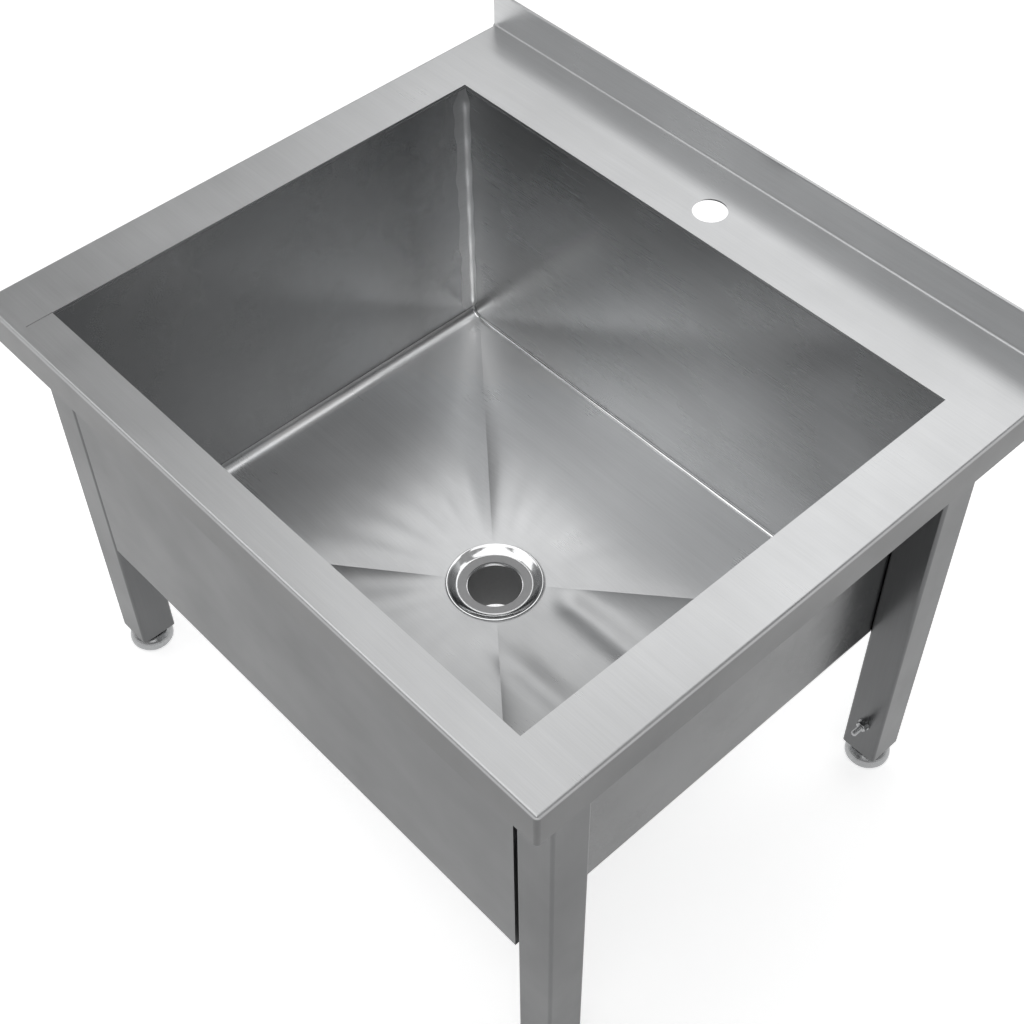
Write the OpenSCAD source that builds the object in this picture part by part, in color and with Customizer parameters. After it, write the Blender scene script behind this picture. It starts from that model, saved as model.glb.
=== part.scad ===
// Low utility laundry sink in folded stainless sheet, on four square legs.
// Origin: middle of the whole sink on the floor. +X is the sink's right,
// +Y runs to the wall behind it, +Z is up. Millimetres.

/* [Part shown] */
// Sub-part to build, or all of them

/* [Top] */
// Width of the top
top_w = 700; // [500:10:1200]
// Front edge to the face of the upstand
top_d = 600; // [450:10:700]
// Floor to the top surface
deck_h = 500; // [450:10:900]
// Sheet thickness of the top
sheet_t = 1.5; // [0.8:0.1:2]
// Height of the turned-down front and side edges
drop_h = 38; // [25:1:60]
// Outer radius of the edge bends
bend_r = 3; // [2:0.5:6]
// Plan radius of the ground front corners
corner_r = 4; // [3:0.5:12]
// Height of the upstand above the top
upstand_h = 40; // [20:5:150]
// Inner radius of the bend at the foot of the upstand
upstand_bend = 2; // [1:0.5:8]
// Depth of the hem folded down behind the upstand
hem_h = 12; // [6:1:20]
// Tap hole diameter
tap_hole_d = 33; // [28:1:36]
// Upstand face to the middle of the tap hole
tap_back = 55; // [45:1:70]

/* [Bowl] */
// Rim beside the bowl, left and right
side_rim = 56; // [45:1:90]
// Rim in front of the bowl
front_rim = 37; // [30:1:80]
// Ledge behind the bowl
back_ledge = 90; // [60:1:120]
// Depth of the bowl at its walls
bowl_depth = 300; // [200:10:400]
// Sheet thickness of the bowl
bowl_t = 1; // [0.8:0.1:2]
// Inner radius of the fold between the side walls and the floor
bowl_fold = 10; // [5:1:25]
// Fall of the floor from the walls to the waste
floor_fall = 6.5; // [3:0.5:15]

/* [Legs] */
// Side of the square leg tube
leg_s = 40; // [30:1:50]
// Wall of the leg tube
leg_t = 1.5; // [1:0.1:3]
// Outer corner radius of the leg tube
leg_corner = 3; // [2:0.5:6]
// Front edge of the top to the front face of the front legs
leg_front = 30; // [24:1:60]
// Back face of the back legs to the face of the upstand
leg_back = 77.5; // [50:0.5:140]
// Floor to the lower end of the leg tubes
leg_clear = 24; // [22:1:40]
// Height of the moulded plug in each leg end
plug_h = 30; // [15:1:45]

/* [Front panel] */
// Sheet thickness of the front panel
panel_t = 1; // [0.8:0.1:2]
// Gap between the panel and each front leg
panel_gap = 2.75; // [1:0.25:6]
// Floor of the bowl to the lower edge of the panel
panel_below = 15; // [12:1:60]
// Width of the fold along the lower edge of the panel
panel_foot = 20; // [10:1:40]

/* [Rails] */
// Width of the rail flange against the top
rail_w = 26; // [20:1:40]
// Height of the rail web
rail_h = 25; // [15:1:34]
// Sheet thickness of the rails
rail_t = 1.5; // [1:0.1:3]
// Rail end to the side edge of the top, front and rear rails
rail_inset = 30; // [20:1:60]

/* [Waste] */
// Outer diameter of the waste flange
flange_d = 96; // [85:1:115]
// Diameter where the sloped ring of the flange ends
flange_well_d = 74; // [68:1:84]
// Bore of the waste
throat_d = 53.5; // [38:0.5:54]
// Outside diameter of the waste thread
thread_d = 59.6; // [47:0.1:60]
// Flange rim to the lower end of the thread
waste_len = 72; // [60:1:100]
// Fall of the sloped ring
ring_fall = 4; // [2:0.5:6]

/* [Feet] */
// Diameter of the foot pad
pad_d = 46; // [40:1:60]
// Height of the foot pad
pad_h = 18; // [14:1:22]
// Diameter of the foot screw
screw_d = 12; // [10:1:16]
// Length of the foot screw
screw_len = 68; // [50:1:90]
// Width across the flats of the locknut
locknut_af = 19; // [17:1:24]

/* [Earth stud] */
// Diameter of the earth stud
earth_d = 6; // [5:1:8]
// Length of the earth stud
earth_len = 18; // [15:1:30]
// Floor to the earth stud
earth_h = 73; // [60:1:120]

/* [Hidden] */
// Overrun of every cut past its faces
over = 1;
// Radial running clearance of the foot screws
run_fit = 0.06;
// Gap between pieces that move past each other
move_gap = 0.3;
// Clearance of the plugs in the leg tubes
plug_gap = 0.1;
// Clearance between the flange and its recess
recess_gap = 0.2;
// Rim thickness of the waste flange above the floor
flange_lip = 0.6;
// Crown of the flange rim above the floor
flange_crown = 1.1;
// Width of the flange rim before the slope starts
flange_edge = 1;
// Thickness of the rubber seat ring
seat_t = 1.2;
// Width of the bead between the slope and the seat ring
bead_w = 1;
// Thickness of the flange under the seat ring
flange_t = 1.5;
// Thickness of the upper seal
upper_seal_t = 1.8;
// Thickness of the lower seal
lower_seal_t = 3;
// Height of the backnut
backnut_h = 10;
// Width across the flats of the backnut
backnut_af = 70;
// Radius of the backnut collar
collar_r = 42;
// Height of the backnut collar
collar_h = 3;
// Step out of the bore under its lip
bore_step = 0.5;
// Length of the relief groove under the backnut
groove_len = 3;
// Depth of the relief groove
groove_d = 0.8;
// Clearance of the thread in the bowl floor
hole_gap = 0.7;
// Width of the locknut's gap in the leg end
locknut_h = leg_clear - pad_h - 2 * move_gap;
// Depth of the screw in the pad
screw_sink = 10;
// Radius share of the pad's flat sole
pad_sole_share = 0.87;
// Height share of the widest part of the pad
pad_waist_share = 0.42;
// Radius share of the pad's collar
pad_collar_share = 0.44;
// Height of the pad's straight rim
pad_rim = 2.5;
// Tip chamfer of the screws
tip = 1.5;
// Radius of the earth washer
washer_r = 6.5;
// Thickness of the earth washer
washer_t = 1.4;
// Width across the flats of the earth nut
nut_af = 10;
// Thickness of the earth nut
nut_t = 5;
// Depth of the thread runout on the earth stud
runout_d = 0.5;
// Clearance of the nuts on their studs
nut_fit = 0.05;
// Clearance of the seat ring round the throat
seat_gap = 1;
// Chamfer at the ends of the waste thread and the earth stud
thread_chamfer = 1;
// Flat floor round the waste flange
waste_flat = 4;
// Wall of the solid ring round the screw in a leg plug
plug_boss = 4;
// Outer wall of a leg plug
plug_wall = 3;
// Corner growth from flats to corners of a hexagon
hex_grow = 1 / cos(30);

full_d = top_d + 2 * sheet_t;
y0 = -full_d / 2;
y_face = y0 + top_d;
x_side = top_w / 2;
z_under = deck_h - sheet_t;
z_drop = deck_h - drop_h;
z_up = deck_h + upstand_h;
y_bend = y_face - upstand_bend;

bowl_w = top_w - 2 * side_rim;
bowl_d = top_d - front_rim - back_ledge;
bowl_y0 = y0 + front_rim;
bowl_yc = bowl_y0 + bowl_d / 2;
z_floor = deck_h - bowl_depth;
z_waste = z_floor - floor_fall;
z_fold = z_floor + bowl_fold;
fold_x = bowl_w / 2 - bowl_fold;
waste_flat_r = flange_d / 2 + waste_flat;
recess_h = ring_fall + seat_t + flange_t + upper_seal_t;
recess_r1 = flange_well_d / 2 + sheet_t;
recess_r2 = flange_d / 2 - flange_edge;
floor_hole_r = thread_d / 2 + hole_gap;

leg_x = bowl_w / 2 + bowl_t + leg_s / 2;
leg_yf = y0 + leg_front + leg_s / 2;
leg_yb = y_face - leg_back - leg_s / 2;
panel_x = bowl_w / 2 + bowl_t - panel_gap;
panel_y = y0 + leg_front;
panel_lip = front_rim - bowl_t - leg_front;
panel_z = z_floor - panel_below;
rail_y = y_bend - rail_w - 2 * sheet_t;
earth_y = leg_yb - leg_s / 2;

STEEL = [0.72, 0.73, 0.74];
STEEL_DARK = [0.55, 0.56, 0.57];
CHROME = [0.88, 0.89, 0.90];
RUBBER = [0.32, 0.32, 0.33];
PLASTIC = [0.10, 0.10, 0.11];

// Profile in Y and Z, drawn out along X and centred on it
module along_x(length) {
    translate([-length / 2, 0, 0])
        rotate([90, 0, 90])
            linear_extrude(length)
                children();
}

// Profile in X and Z, drawn out along Y from a starting value
module along_y(from, length) {
    translate([0, from + length, 0])
        rotate([90, 0, 0])
            linear_extrude(length)
                children();
}

// Rectangle from a low corner to a high corner
module area(low, high) {
    translate(low)
        square(high - low);
}

// Rounded square tube section
module tube_section(side, radius) {
    flat = side - 2 * radius;
    square([side, flat], center = true);
    square([flat, side], center = true);
    for (sx = [-1, 1], sy = [-1, 1])
        translate([sx * flat / 2, sy * flat / 2])
            circle(r = radius, $fn = 32);
}

// End view of the top: flat with two bent side edges
module top_front_view(shrink) {
    r = bend_r - shrink;
    x = x_side - shrink;
    z = deck_h - shrink;
    low = z_drop - (shrink > 0 ? over : 0);
    area([-x + r, low], [x - r, z]);
    area([-x, low], [x, z - r]);
    for (s = [-1, 1])
        translate([s * (x - r), z - r])
            circle(r = r, $fn = 48);
}

// Side view of the top: flat with a bent front edge
module top_side_view(shrink) {
    r = bend_r - shrink;
    y = y0 + shrink;
    z = deck_h - shrink;
    low = z_drop - (shrink > 0 ? over : 0);
    high = y_bend + (shrink > 0 ? over : 0);
    area([y + r, low], [high, z]);
    area([y, low], [high, z - r]);
    translate([y + r, z - r])
        circle(r = r, $fn = 48);
}

// Plan view of the top with its two ground front corners
module top_plan(shrink) {
    r = corner_r - shrink;
    x = x_side - shrink;
    y = y0 + shrink;
    high = y_bend + (shrink > 0 ? over : 0);
    area([-x + r, y], [x - r, high]);
    area([-x, y + r], [x, high]);
    for (s = [-1, 1])
        translate([s * (x - r), y + r])
            circle(r = r, $fn = 48);
}

// Solid inside the outer or the inner faces of the bent top
module top_form(shrink) {
    intersection() {
        along_y(y0 - over, top_d + 3 * over)
            top_front_view(shrink);
        along_x(top_w + 2 * over)
            top_side_view(shrink);
        translate([0, 0, z_drop - 2 * over])
            linear_extrude(drop_h + 4 * over)
                top_plan(shrink);
    }
}

// Section of the upstand: bend, web, rolled top and closed hem
module upstand_section() {
    bend_z = deck_h + upstand_bend;
    intersection() {
        area([y_bend, z_under], [y_face + sheet_t, bend_z]);
        difference() {
            translate([y_bend, bend_z])
                circle(r = upstand_bend + sheet_t, $fn = 48);
            translate([y_bend, bend_z])
                circle(r = upstand_bend, $fn = 48);
        }
    }
    area([y_face, bend_z], [y_face + sheet_t, z_up - sheet_t]);
    translate([y_face + sheet_t, z_up - sheet_t])
        circle(r = sheet_t, $fn = 32);
    area([y_face + sheet_t, z_up - hem_h], [y_face + 2 * sheet_t, z_up - sheet_t]);
}

module top_deck() {
    color(STEEL)
        difference() {
            union() {
                difference() {
                    top_form(0);
                    top_form(sheet_t);
                }
                along_x(top_w)
                    upstand_section();
            }
            translate([-bowl_w / 2, bowl_y0, z_under - over])
                cube([bowl_w, bowl_d, sheet_t + 2 * over]);
            translate([0, y_face - tap_back, z_under - over])
                cylinder(h = sheet_t + 2 * over, d = tap_hole_d, $fn = 64);
        }
}

// Hollow or outer form of the floor: side folds and a floor creased to the waste
module floor_form(grow) {
    hull() {
        translate([-bowl_w / 2 - grow, bowl_y0 - grow, z_fold])
            cube([bowl_w + 2 * grow, bowl_d + 2 * grow, bowl_fold]);
        for (s = [-1, 1])
            translate([s * fold_x, bowl_y0 - grow, z_fold])
                rotate([-90, 0, 0])
                    cylinder(h = bowl_d + 2 * grow, r = bowl_fold + grow, $fn = 48);
        translate([0, bowl_yc, z_waste - grow])
            cylinder(h = bowl_fold, r = waste_flat_r, $fn = 64);
    }
}

// Coned recess of the floor that takes the waste flange
module recess_form(grow) {
    translate([0, bowl_yc, z_waste - recess_h - grow])
        cylinder(h = recess_h, r1 = recess_r1 + grow, r2 = recess_r2 + grow, $fn = 96);
}

// Floor sheet with its side folds and the recess and hole of the waste
module bowl_floor() {
    color(STEEL)
        difference() {
            intersection() {
                union() {
                    floor_form(bowl_t);
                    recess_form(bowl_t);
                }
                translate([-top_w / 2, bowl_y0, 0])
                    cube([top_w, bowl_d, z_fold]);
            }
            floor_form(0);
            recess_form(0);
            translate([0, bowl_yc, z_waste - over / 2])
                cylinder(h = over, r = recess_r2, $fn = 96);
            translate([0, bowl_yc, z_waste - recess_h - 2 * over - bowl_t])
                cylinder(h = recess_h, r = floor_hole_r, $fn = 96);
        }
}

// Side wall of the bowl, from the fold of the floor to the top
module bowl_side_wall(x) {
    color(STEEL)
        translate([x, bowl_y0, z_fold])
            cube([bowl_t, bowl_d, z_under - z_fold]);
}

module bowl_wall_left() {
    bowl_side_wall(-bowl_w / 2 - bowl_t);
}

module bowl_wall_right() {
    bowl_side_wall(bowl_w / 2);
}

// Welded end wall of the bowl, with lower corners that follow the side folds
module bowl_end_wall(from) {
    out_x = bowl_w / 2 + bowl_t;
    color(STEEL)
        along_y(from, bowl_t) {
            area([-out_x, z_fold], [out_x, z_under]);
            area([-fold_x, z_floor - bowl_t], [fold_x, z_fold]);
            for (s = [-1, 1])
                translate([s * fold_x, z_fold])
                    circle(r = bowl_fold + bowl_t, $fn = 48);
        }
}

module bowl_wall_front() {
    bowl_end_wall(bowl_y0 - bowl_t);
}

module bowl_wall_back() {
    bowl_end_wall(bowl_y0 + bowl_d);
}

// Tray-shaped apron in front of the bowl, folded back on all four sides
module front_panel() {
    inner_x = panel_x - panel_t;
    color(STEEL)
        difference() {
            union() {
                translate([-panel_x, panel_y, panel_z])
                    cube([2 * panel_x, panel_lip, z_under - panel_z]);
                translate([-panel_x, panel_y, panel_z])
                    cube([2 * panel_x, panel_foot, panel_t]);
            }
            translate([-inner_x, panel_y + panel_t, panel_z + panel_t])
                cube([2 * inner_x, panel_foot, z_under - panel_z - 2 * panel_t]);
        }
}

// Angle section along Y under a side rim; the web is on the outer side
module side_rail(s) {
    length = leg_yb - leg_yf - leg_s;
    x_out = leg_x + leg_s / 2;
    x_web = x_out - rail_t;
    x_in = x_out - rail_w;
    color(STEEL_DARK)
        mirror([s < 0 ? 1 : 0, 0, 0])
            along_y(leg_yf + leg_s / 2, length) {
                area([x_in, z_under - rail_t], [x_out, z_under]);
                area([x_web, z_under - rail_h], [x_out, z_under]);
            }
}

module side_rail_left() {
    side_rail(-1);
}

module side_rail_right() {
    side_rail(1);
}

// Angle section along X under the front or rear of the top
module cross_rail(y_low, web_low) {
    color(STEEL_DARK)
        along_x(top_w - 2 * rail_inset) {
            area([y_low, z_under - rail_t], [y_low + rail_w, z_under]);
            area([web_low, z_under - rail_h], [web_low + rail_t, z_under]);
        }
}

module front_rail() {
    y_low = y0 + bend_r;
    cross_rail(y_low, y_low + rail_w - rail_t);
}

module rear_rail() {
    cross_rail(rail_y, rail_y + rail_w - rail_t);
}

// Square tube leg, open at both ends, under the top
module leg(x, y) {
    color(STEEL)
        translate([x, y, leg_clear])
            difference() {
                linear_extrude(z_under - leg_clear)
                    tube_section(leg_s, leg_corner);
                translate([0, 0, -over])
                    linear_extrude(z_under - leg_clear + 2 * over)
                        tube_section(leg_s - 2 * leg_t, leg_corner - leg_t);
            }
}

module leg_front_left() {
    leg(-leg_x, leg_yf);
}

module leg_front_right() {
    leg(leg_x, leg_yf);
}

module leg_back_left() {
    leg(-leg_x, leg_yb);
}

module leg_back_right() {
    leg(leg_x, leg_yb);
}

// Moulded plug in a leg end, hollowed above a ring of solid round the screw
module plug(x, y) {
    side = leg_s - 2 * leg_t - 2 * plug_gap;
    boss_r = screw_d / 2 + plug_boss;
    pocket = side - 2 * plug_wall;
    floor_t = plug_h / 4;
    color(PLASTIC)
        translate([x, y, leg_clear])
            difference() {
                linear_extrude(plug_h)
                    tube_section(side, leg_corner - leg_t - plug_gap);
                translate([0, 0, floor_t])
                    difference() {
                        translate([-pocket / 2, -pocket / 2, 0])
                            cube([pocket, pocket, plug_h]);
                        translate([0, 0, -over])
                            cylinder(h = plug_h + over, r = boss_r, $fn = 48);
                    }
                translate([0, 0, -over])
                    cylinder(h = plug_h + 2 * over, r = screw_d / 2 + run_fit, $fn = 48);
            }
}

module plug_front_left() {
    plug(-leg_x, leg_yf);
}

module plug_front_right() {
    plug(leg_x, leg_yf);
}

module plug_back_left() {
    plug(-leg_x, leg_yb);
}

module plug_back_right() {
    plug(leg_x, leg_yb);
}

// Dished flange in one piece with its threaded spigot
module waste_flange() {
    r_out = flange_d / 2;
    r_well = flange_well_d / 2;
    r_seat = r_well - bead_w;
    r_bore = throat_d / 2;
    r_thread = thread_d / 2;
    r_groove = r_thread - groove_d;
    z_ring = -ring_fall;
    z_seat = z_ring - seat_t;
    z_flat = z_seat - flange_t;
    z_nut = -recess_h - bowl_t - lower_seal_t - backnut_h;
    z_groove = z_nut - 2 * groove_len;
    z_lip = -recess_h + recess_gap;
    color(CHROME)
        translate([0, bowl_yc, z_waste])
            rotate_extrude($fn = 96)
                polygon([
                    [r_bore + bore_step, z_lip],
                    [r_bore + bore_step, -waste_len],
                    [r_thread - thread_chamfer, -waste_len],
                    [r_thread, -waste_len + thread_chamfer],
                    [r_thread, z_groove - groove_len],
                    [r_groove, z_groove - groove_len],
                    [r_groove, z_groove],
                    [r_thread, z_groove],
                    [r_thread, z_flat],
                    [recess_r1 - recess_gap, z_flat],
                    [recess_r2 - 2 * recess_gap, 0],
                    [r_out, 0],
                    [r_out, flange_lip],
                    [r_out - flange_edge, flange_crown],
                    [r_well, z_ring],
                    [r_seat, z_ring],
                    [r_seat, z_seat],
                    [r_bore, z_seat],
                    [r_bore, z_lip]]);
}

// Flat ring in the well of the flange
module waste_seat() {
    color(RUBBER)
        translate([0, bowl_yc, z_waste - ring_fall - seat_t])
            difference() {
                cylinder(h = seat_t, r = flange_well_d / 2 - bead_w, $fn = 96);
                translate([0, 0, -over])
                    cylinder(h = seat_t + 2 * over, r = throat_d / 2 + seat_gap, $fn = 96);
            }
}

// Flat ring from the thread outwards
module seal_ring(z, height, radius) {
    color(RUBBER)
        translate([0, bowl_yc, z])
            difference() {
                cylinder(h = height, r = radius, $fn = 96);
                translate([0, 0, -over])
                    cylinder(h = height + 2 * over, r = thread_d / 2 + nut_fit, $fn = 96);
            }
}

module waste_upper_seal() {
    seal_ring(z_waste - recess_h, upper_seal_t, recess_r1 - recess_gap);
}

module waste_lower_seal() {
    seal_ring(z_waste - recess_h - bowl_t - lower_seal_t, lower_seal_t, recess_r1);
}

// Hexagon nut with a round collar against the lower seal
module waste_backnut() {
    z = z_waste - recess_h - bowl_t - lower_seal_t - backnut_h;
    color(CHROME)
        translate([0, bowl_yc, z])
            difference() {
                union() {
                    cylinder(h = backnut_h, r = backnut_af / 2 * hex_grow, $fn = 6);
                    translate([0, 0, backnut_h - collar_h])
                        cylinder(h = collar_h, r = collar_r, $fn = 96);
                }
                translate([0, 0, -over])
                    cylinder(h = backnut_h + 2 * over, r = thread_d / 2 + nut_fit, $fn = 96);
            }
}

// Placed on the front face of the right back leg, pointing to the front
module at_earth(out) {
    translate([leg_x, earth_y - out, earth_h])
        rotate([90, 0, 0])
            children();
}

// Stud with a thread runout behind the nut and a chamfered tip
module earth_stud() {
    r = earth_d / 2;
    z_end = washer_t + nut_t - runout_d;
    z_free = washer_t + nut_t + runout_d;
    color(STEEL_DARK)
        at_earth(0)
            rotate_extrude($fn = 32)
                polygon([
                    [0, 0],
                    [r, 0],
                    [r, z_end],
                    [r - runout_d, z_end],
                    [r - runout_d, z_free],
                    [r, z_free],
                    [r, earth_len - thread_chamfer],
                    [r - thread_chamfer, earth_len],
                    [0, earth_len]]);
}

module earth_washer() {
    color(CHROME)
        at_earth(0)
            difference() {
                cylinder(h = washer_t, r = washer_r, $fn = 48);
                translate([0, 0, -over])
                    cylinder(h = washer_t + 2 * over, r = earth_d / 2 + 2 * nut_fit, $fn = 32);
            }
}

// Hexagon nut with a round bore, standing on its lower face
module hex_nut(af, height, bore_r) {
    difference() {
        cylinder(h = height, r = af / 2 * hex_grow, $fn = 6);
        translate([0, 0, -over])
            cylinder(h = height + 2 * over, r = bore_r, $fn = 32);
    }
}

module earth_nut() {
    color(CHROME)
        at_earth(washer_t)
            hex_nut(nut_af, nut_t, earth_d / 2 + nut_fit);
}

// Foot screw with chamfered tips; its lower end turns in the pad
module foot_screw(x, y) {
    r = screw_d / 2;
    color(CHROME)
        translate([x, y, pad_h - screw_sink])
            rotate_extrude($fn = 48)
                polygon([
                    [0, 0],
                    [r - tip, 0],
                    [r, tip],
                    [r, screw_len - tip],
                    [r - tip, screw_len],
                    [0, screw_len]]);
}

module screw_front_left() {
    foot_screw(-leg_x, leg_yf);
}

module screw_front_right() {
    foot_screw(leg_x, leg_yf);
}

module screw_back_left() {
    foot_screw(-leg_x, leg_yb);
}

module screw_back_right() {
    foot_screw(leg_x, leg_yb);
}

// Thin nut on the foot screw between the pad and the leg end
module locknut(x, y) {
    color(CHROME)
        translate([x, y, pad_h + move_gap])
            hex_nut(locknut_af, locknut_h, screw_d / 2 + nut_fit);
}

module locknut_front_left() {
    locknut(-leg_x, leg_yf);
}

module locknut_front_right() {
    locknut(leg_x, leg_yf);
}

module locknut_back_left() {
    locknut(-leg_x, leg_yb);
}

module locknut_back_right() {
    locknut(leg_x, leg_yb);
}

// Turned foot pad: small sole, straight rim, domed top and a blind socket
module pad(x, y) {
    r = pad_d / 2;
    z_waist = pad_h * pad_waist_share;
    socket_r = screw_d / 2 + run_fit;
    socket_z = pad_h - screw_sink - move_gap;
    color(CHROME)
        translate([x, y, 0])
            rotate_extrude($fn = 64)
                polygon([
                    [0, 0],
                    [r * pad_sole_share, 0],
                    [r, z_waist - pad_rim],
                    [r, z_waist],
                    for (a = [10:10:80])
                        [r * pad_collar_share + r * (1 - pad_collar_share) * cos(a), z_waist + (pad_h - z_waist) * sin(a)],
                    [r * pad_collar_share, pad_h],
                    [socket_r, pad_h],
                    [socket_r, socket_z],
                    [0, socket_z]]);
}

module pad_front_left() {
    pad(-leg_x, leg_yf);
}

module pad_front_right() {
    pad(leg_x, leg_yf);
}

module pad_back_left() {
    pad(-leg_x, leg_yb);
}

module pad_back_right() {
    pad(leg_x, leg_yb);
}

top_deck();
bowl_floor();
bowl_wall_left();
bowl_wall_right();
bowl_wall_front();
bowl_wall_back();
front_panel();
side_rail_left();
side_rail_right();
front_rail();
rear_rail();
leg_front_left();
leg_front_right();
leg_back_left();
leg_back_right();
plug_front_left();
plug_front_right();
plug_back_left();
plug_back_right();
waste_flange();
waste_seat();
waste_upper_seal();
waste_lower_seal();
waste_backnut();
earth_stud();
earth_washer();
earth_nut();
screw_front_left();
screw_front_right();
screw_back_left();
screw_back_right();
locknut_front_left();
locknut_front_right();
locknut_back_left();
locknut_back_right();
pad_front_left();
pad_front_right();
pad_back_left();
pad_back_right();
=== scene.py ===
import math

import bmesh
import bpy
from mathutils import Matrix, Vector


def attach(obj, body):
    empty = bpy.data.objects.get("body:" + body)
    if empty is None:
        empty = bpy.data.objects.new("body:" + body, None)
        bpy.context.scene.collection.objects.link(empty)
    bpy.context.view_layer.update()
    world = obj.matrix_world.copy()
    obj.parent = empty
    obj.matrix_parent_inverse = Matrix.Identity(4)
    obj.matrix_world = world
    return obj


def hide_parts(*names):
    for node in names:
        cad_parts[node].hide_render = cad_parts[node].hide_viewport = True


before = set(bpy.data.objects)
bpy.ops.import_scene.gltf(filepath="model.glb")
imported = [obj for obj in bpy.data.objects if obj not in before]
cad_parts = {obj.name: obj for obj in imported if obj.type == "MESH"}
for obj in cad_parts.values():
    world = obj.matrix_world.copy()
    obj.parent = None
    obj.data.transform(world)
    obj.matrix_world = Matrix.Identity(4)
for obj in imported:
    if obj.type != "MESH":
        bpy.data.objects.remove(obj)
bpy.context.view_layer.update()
BODY = "sink"

# Camera, fitted to the straight edges of the photograph
CAMERA_AT = (0.76416, -0.69232, 1.48535)
CAMERA_TURN = (0.864231, 0.307949, 0.135092, 0.374196)
CAMERA_LENS = 59.097
CAMERA_SHIFT = (-0.01658, 0.03258)
CAMERA_CLIP = (0.01, 100)
SENSOR_WIDTH = 36

# Grain directions
ALONG_X = (1, 0, 0)
ALONG_Y = (0, 1, 0)
ALONG_Z = (0, 0, 1)

# Stage, in metres: world, floor that sweeps up into the backdrop, and point that the lamps face
WORLD_GREY = 0.32
FLOOR_COLOUR = (0.86, 0.86, 0.86, 1)
FLOOR_GLOW = 0.62
FLOOR_REACH = 12.0
SWEEP_R = 8.0
SWEEP_STEPS = 16
LAMP_AIM = (0, 0, 0.4)
# Softboxes: name, azimuth, elevation, distance, width, height, radiance
LAMPS = (("box_rear", -20, 50, 2.6, 2.8, 1.5, 1.08),
         ("box_top", 180, 84, 2.4, 2.4, 2.0, 1.0),
         ("box_front_left", -136, 48, 2.8, 2.0, 1.5, 0.9),
         ("box_front_right", 138, 52, 3.0, 1.6, 1.2, 1.1))

# A millimetre in the metres of the frame, the bowl's sheet, and how far welds stand off it
MM = 0.001
SHEET = 1.0 * MM
PROUD = 0.05 * MM

# Bowl floor: fold at its sides, pillow of the facets, press marks round the waste
FOLD_R = 10 * MM
RECESS_R = 47 * MM
RECESS_LOW_R = 38.5 * MM
RECESS_H = 8.5 * MM
HOLE_R = 30.5 * MM
PILLOW = 2.8 * MM
CREASE_SHARE = 0.11
PRESS_MARK = 0.30 * MM
PRESS_COUNT = 24
PRESS_TOWARDS = 172
PRESS_LEAST = 0.12
PRESS_FOCUS = 8
PRESS_AT = 0.28
PRESS_SPREAD = 0.17
TROUGH_DEPTH = 2.6 * MM
TROUGH_HALF = 15 * MM
TROUGH_IN = 70 * MM
TROUGH_OUT = 60 * MM
# Share of the way out over which the troughs set in, and their places: y, start x and end x
TROUGH_SHARES = (0.02, 0.12)
TROUGHS = ((34 * MM, -30 * MM, 250 * MM), (-52 * MM, 30 * MM, 230 * MM))
RAYS_PER_SIDE = 72
FLOOR_RINGS = 44
RING_BUNCH = 1.15
FOLD_STEPS = 10
MERGE_WITHIN = 0.01 * MM
SIDE_WEIGHT = 0.5

# Ground welds and seams
GROUND_BAND = 9 * MM
WELD_R = 6 * MM
EDGE_WELD_R = 2.4 * MM
SEAM_R = 0.35 * MM
SEAM_STEPS = 4
RIM_SEAM_DROP = 1.9 * MM
CREASE_MARK = 26 * MM
WELD_STEPS = 6
BAND_EDGE = 0.92
# Ends of a weld: width at the tips, and shares of the length over which it widens and narrows
WELD_TIP = 0.08
WELD_START = (-0.02, 0.05)
WELD_STOP = (0.94, 1.0)
# Waves of a hand-made line: size, number, lag
BAND_WAVES = ((0.12, 23, 0), (0.08, 61, 1))
BEAD_WAVES = ((0.10, 41, 0),)
SEAM_WAVES = ((0.12, 37, 0), (0.12, 91, 2))

# Colour and roughness of each finish
TOP_STEEL = (0.56, 0.565, 0.57), 0.32
FLOOR_STEEL = (0.52, 0.525, 0.53), 0.31
WALL_STEEL = (0.44, 0.445, 0.45), 0.27
# Painted shade: the panel and the legs are the same stainless as the top, given a far darker colour as shade
PANEL_SHADED_STEEL = (0.14, 0.142, 0.144), 0.36
LEG_SHADED_STEEL = (0.135, 0.137, 0.139), 0.32
RAIL_STEEL = (0.40, 0.405, 0.41), 0.38
GROUND_STEEL = (0.86, 0.865, 0.87), 0.36
# Welds along the floor and its folds: real fillets that catch the lamps, given a near-white colour as a
# painted highlight
WELD_PAINTED_HIGHLIGHT = (0.95, 0.955, 0.96), 0.2
SEAM_DARK = (0.20, 0.20, 0.205), 0.45
CHROME = (0.86, 0.865, 0.87), 0.10
# Painted shade: the dark grey inside the waste's bore stands in for the shade of the hole
THROAT_SHADE_GREY = (0.30, 0.30, 0.302), 0.7
RUBBER_GREY = (0.42, 0.42, 0.425), 0.6
PLUG_BLACK = (0.02, 0.02, 0.022), 0.5
FOOT_METAL = (0.38, 0.385, 0.39), 0.26

# Noise of the finishes, in features per metre, and what it does to shade, roughness and surface
SCRATCH_LONG = 14
STREAKS = (90, 4)
CLOUDS = (9, 9, 9)
BUCKLES = (5, 5, 5)
SCRATCH_SHADES = (0.955, 1.035)
STREAK_SHADES = (0.975, 1.02)
MOTTLE_SHADES = (0.93, 1.04)
ROUGH_SPREAD = 0.04
SCRATCH_ROUGH = 0.015
SMOOTHEST = 0.02
SCRATCH_DEPTH = 0.03 * MM
SCRATCH_STRENGTH = 0.12
MOTTLE_STRENGTH = 0.5
SHEET_WAVE = 1.2 * MM
WALL_WAVE = 1.5 * MM

# Top: upstand, and painted shade that darkens its folded-down edges against its flat, faded in below the
# surface
UPSTAND = 40 * MM
DROP_PAINTED_SHADE = 0.22
DROP_SHADE_FADE = (4 * MM, 1 * MM)
DECK_EDGE = 0.35 * MM
PANEL_EDGE = 0.3 * MM
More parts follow.
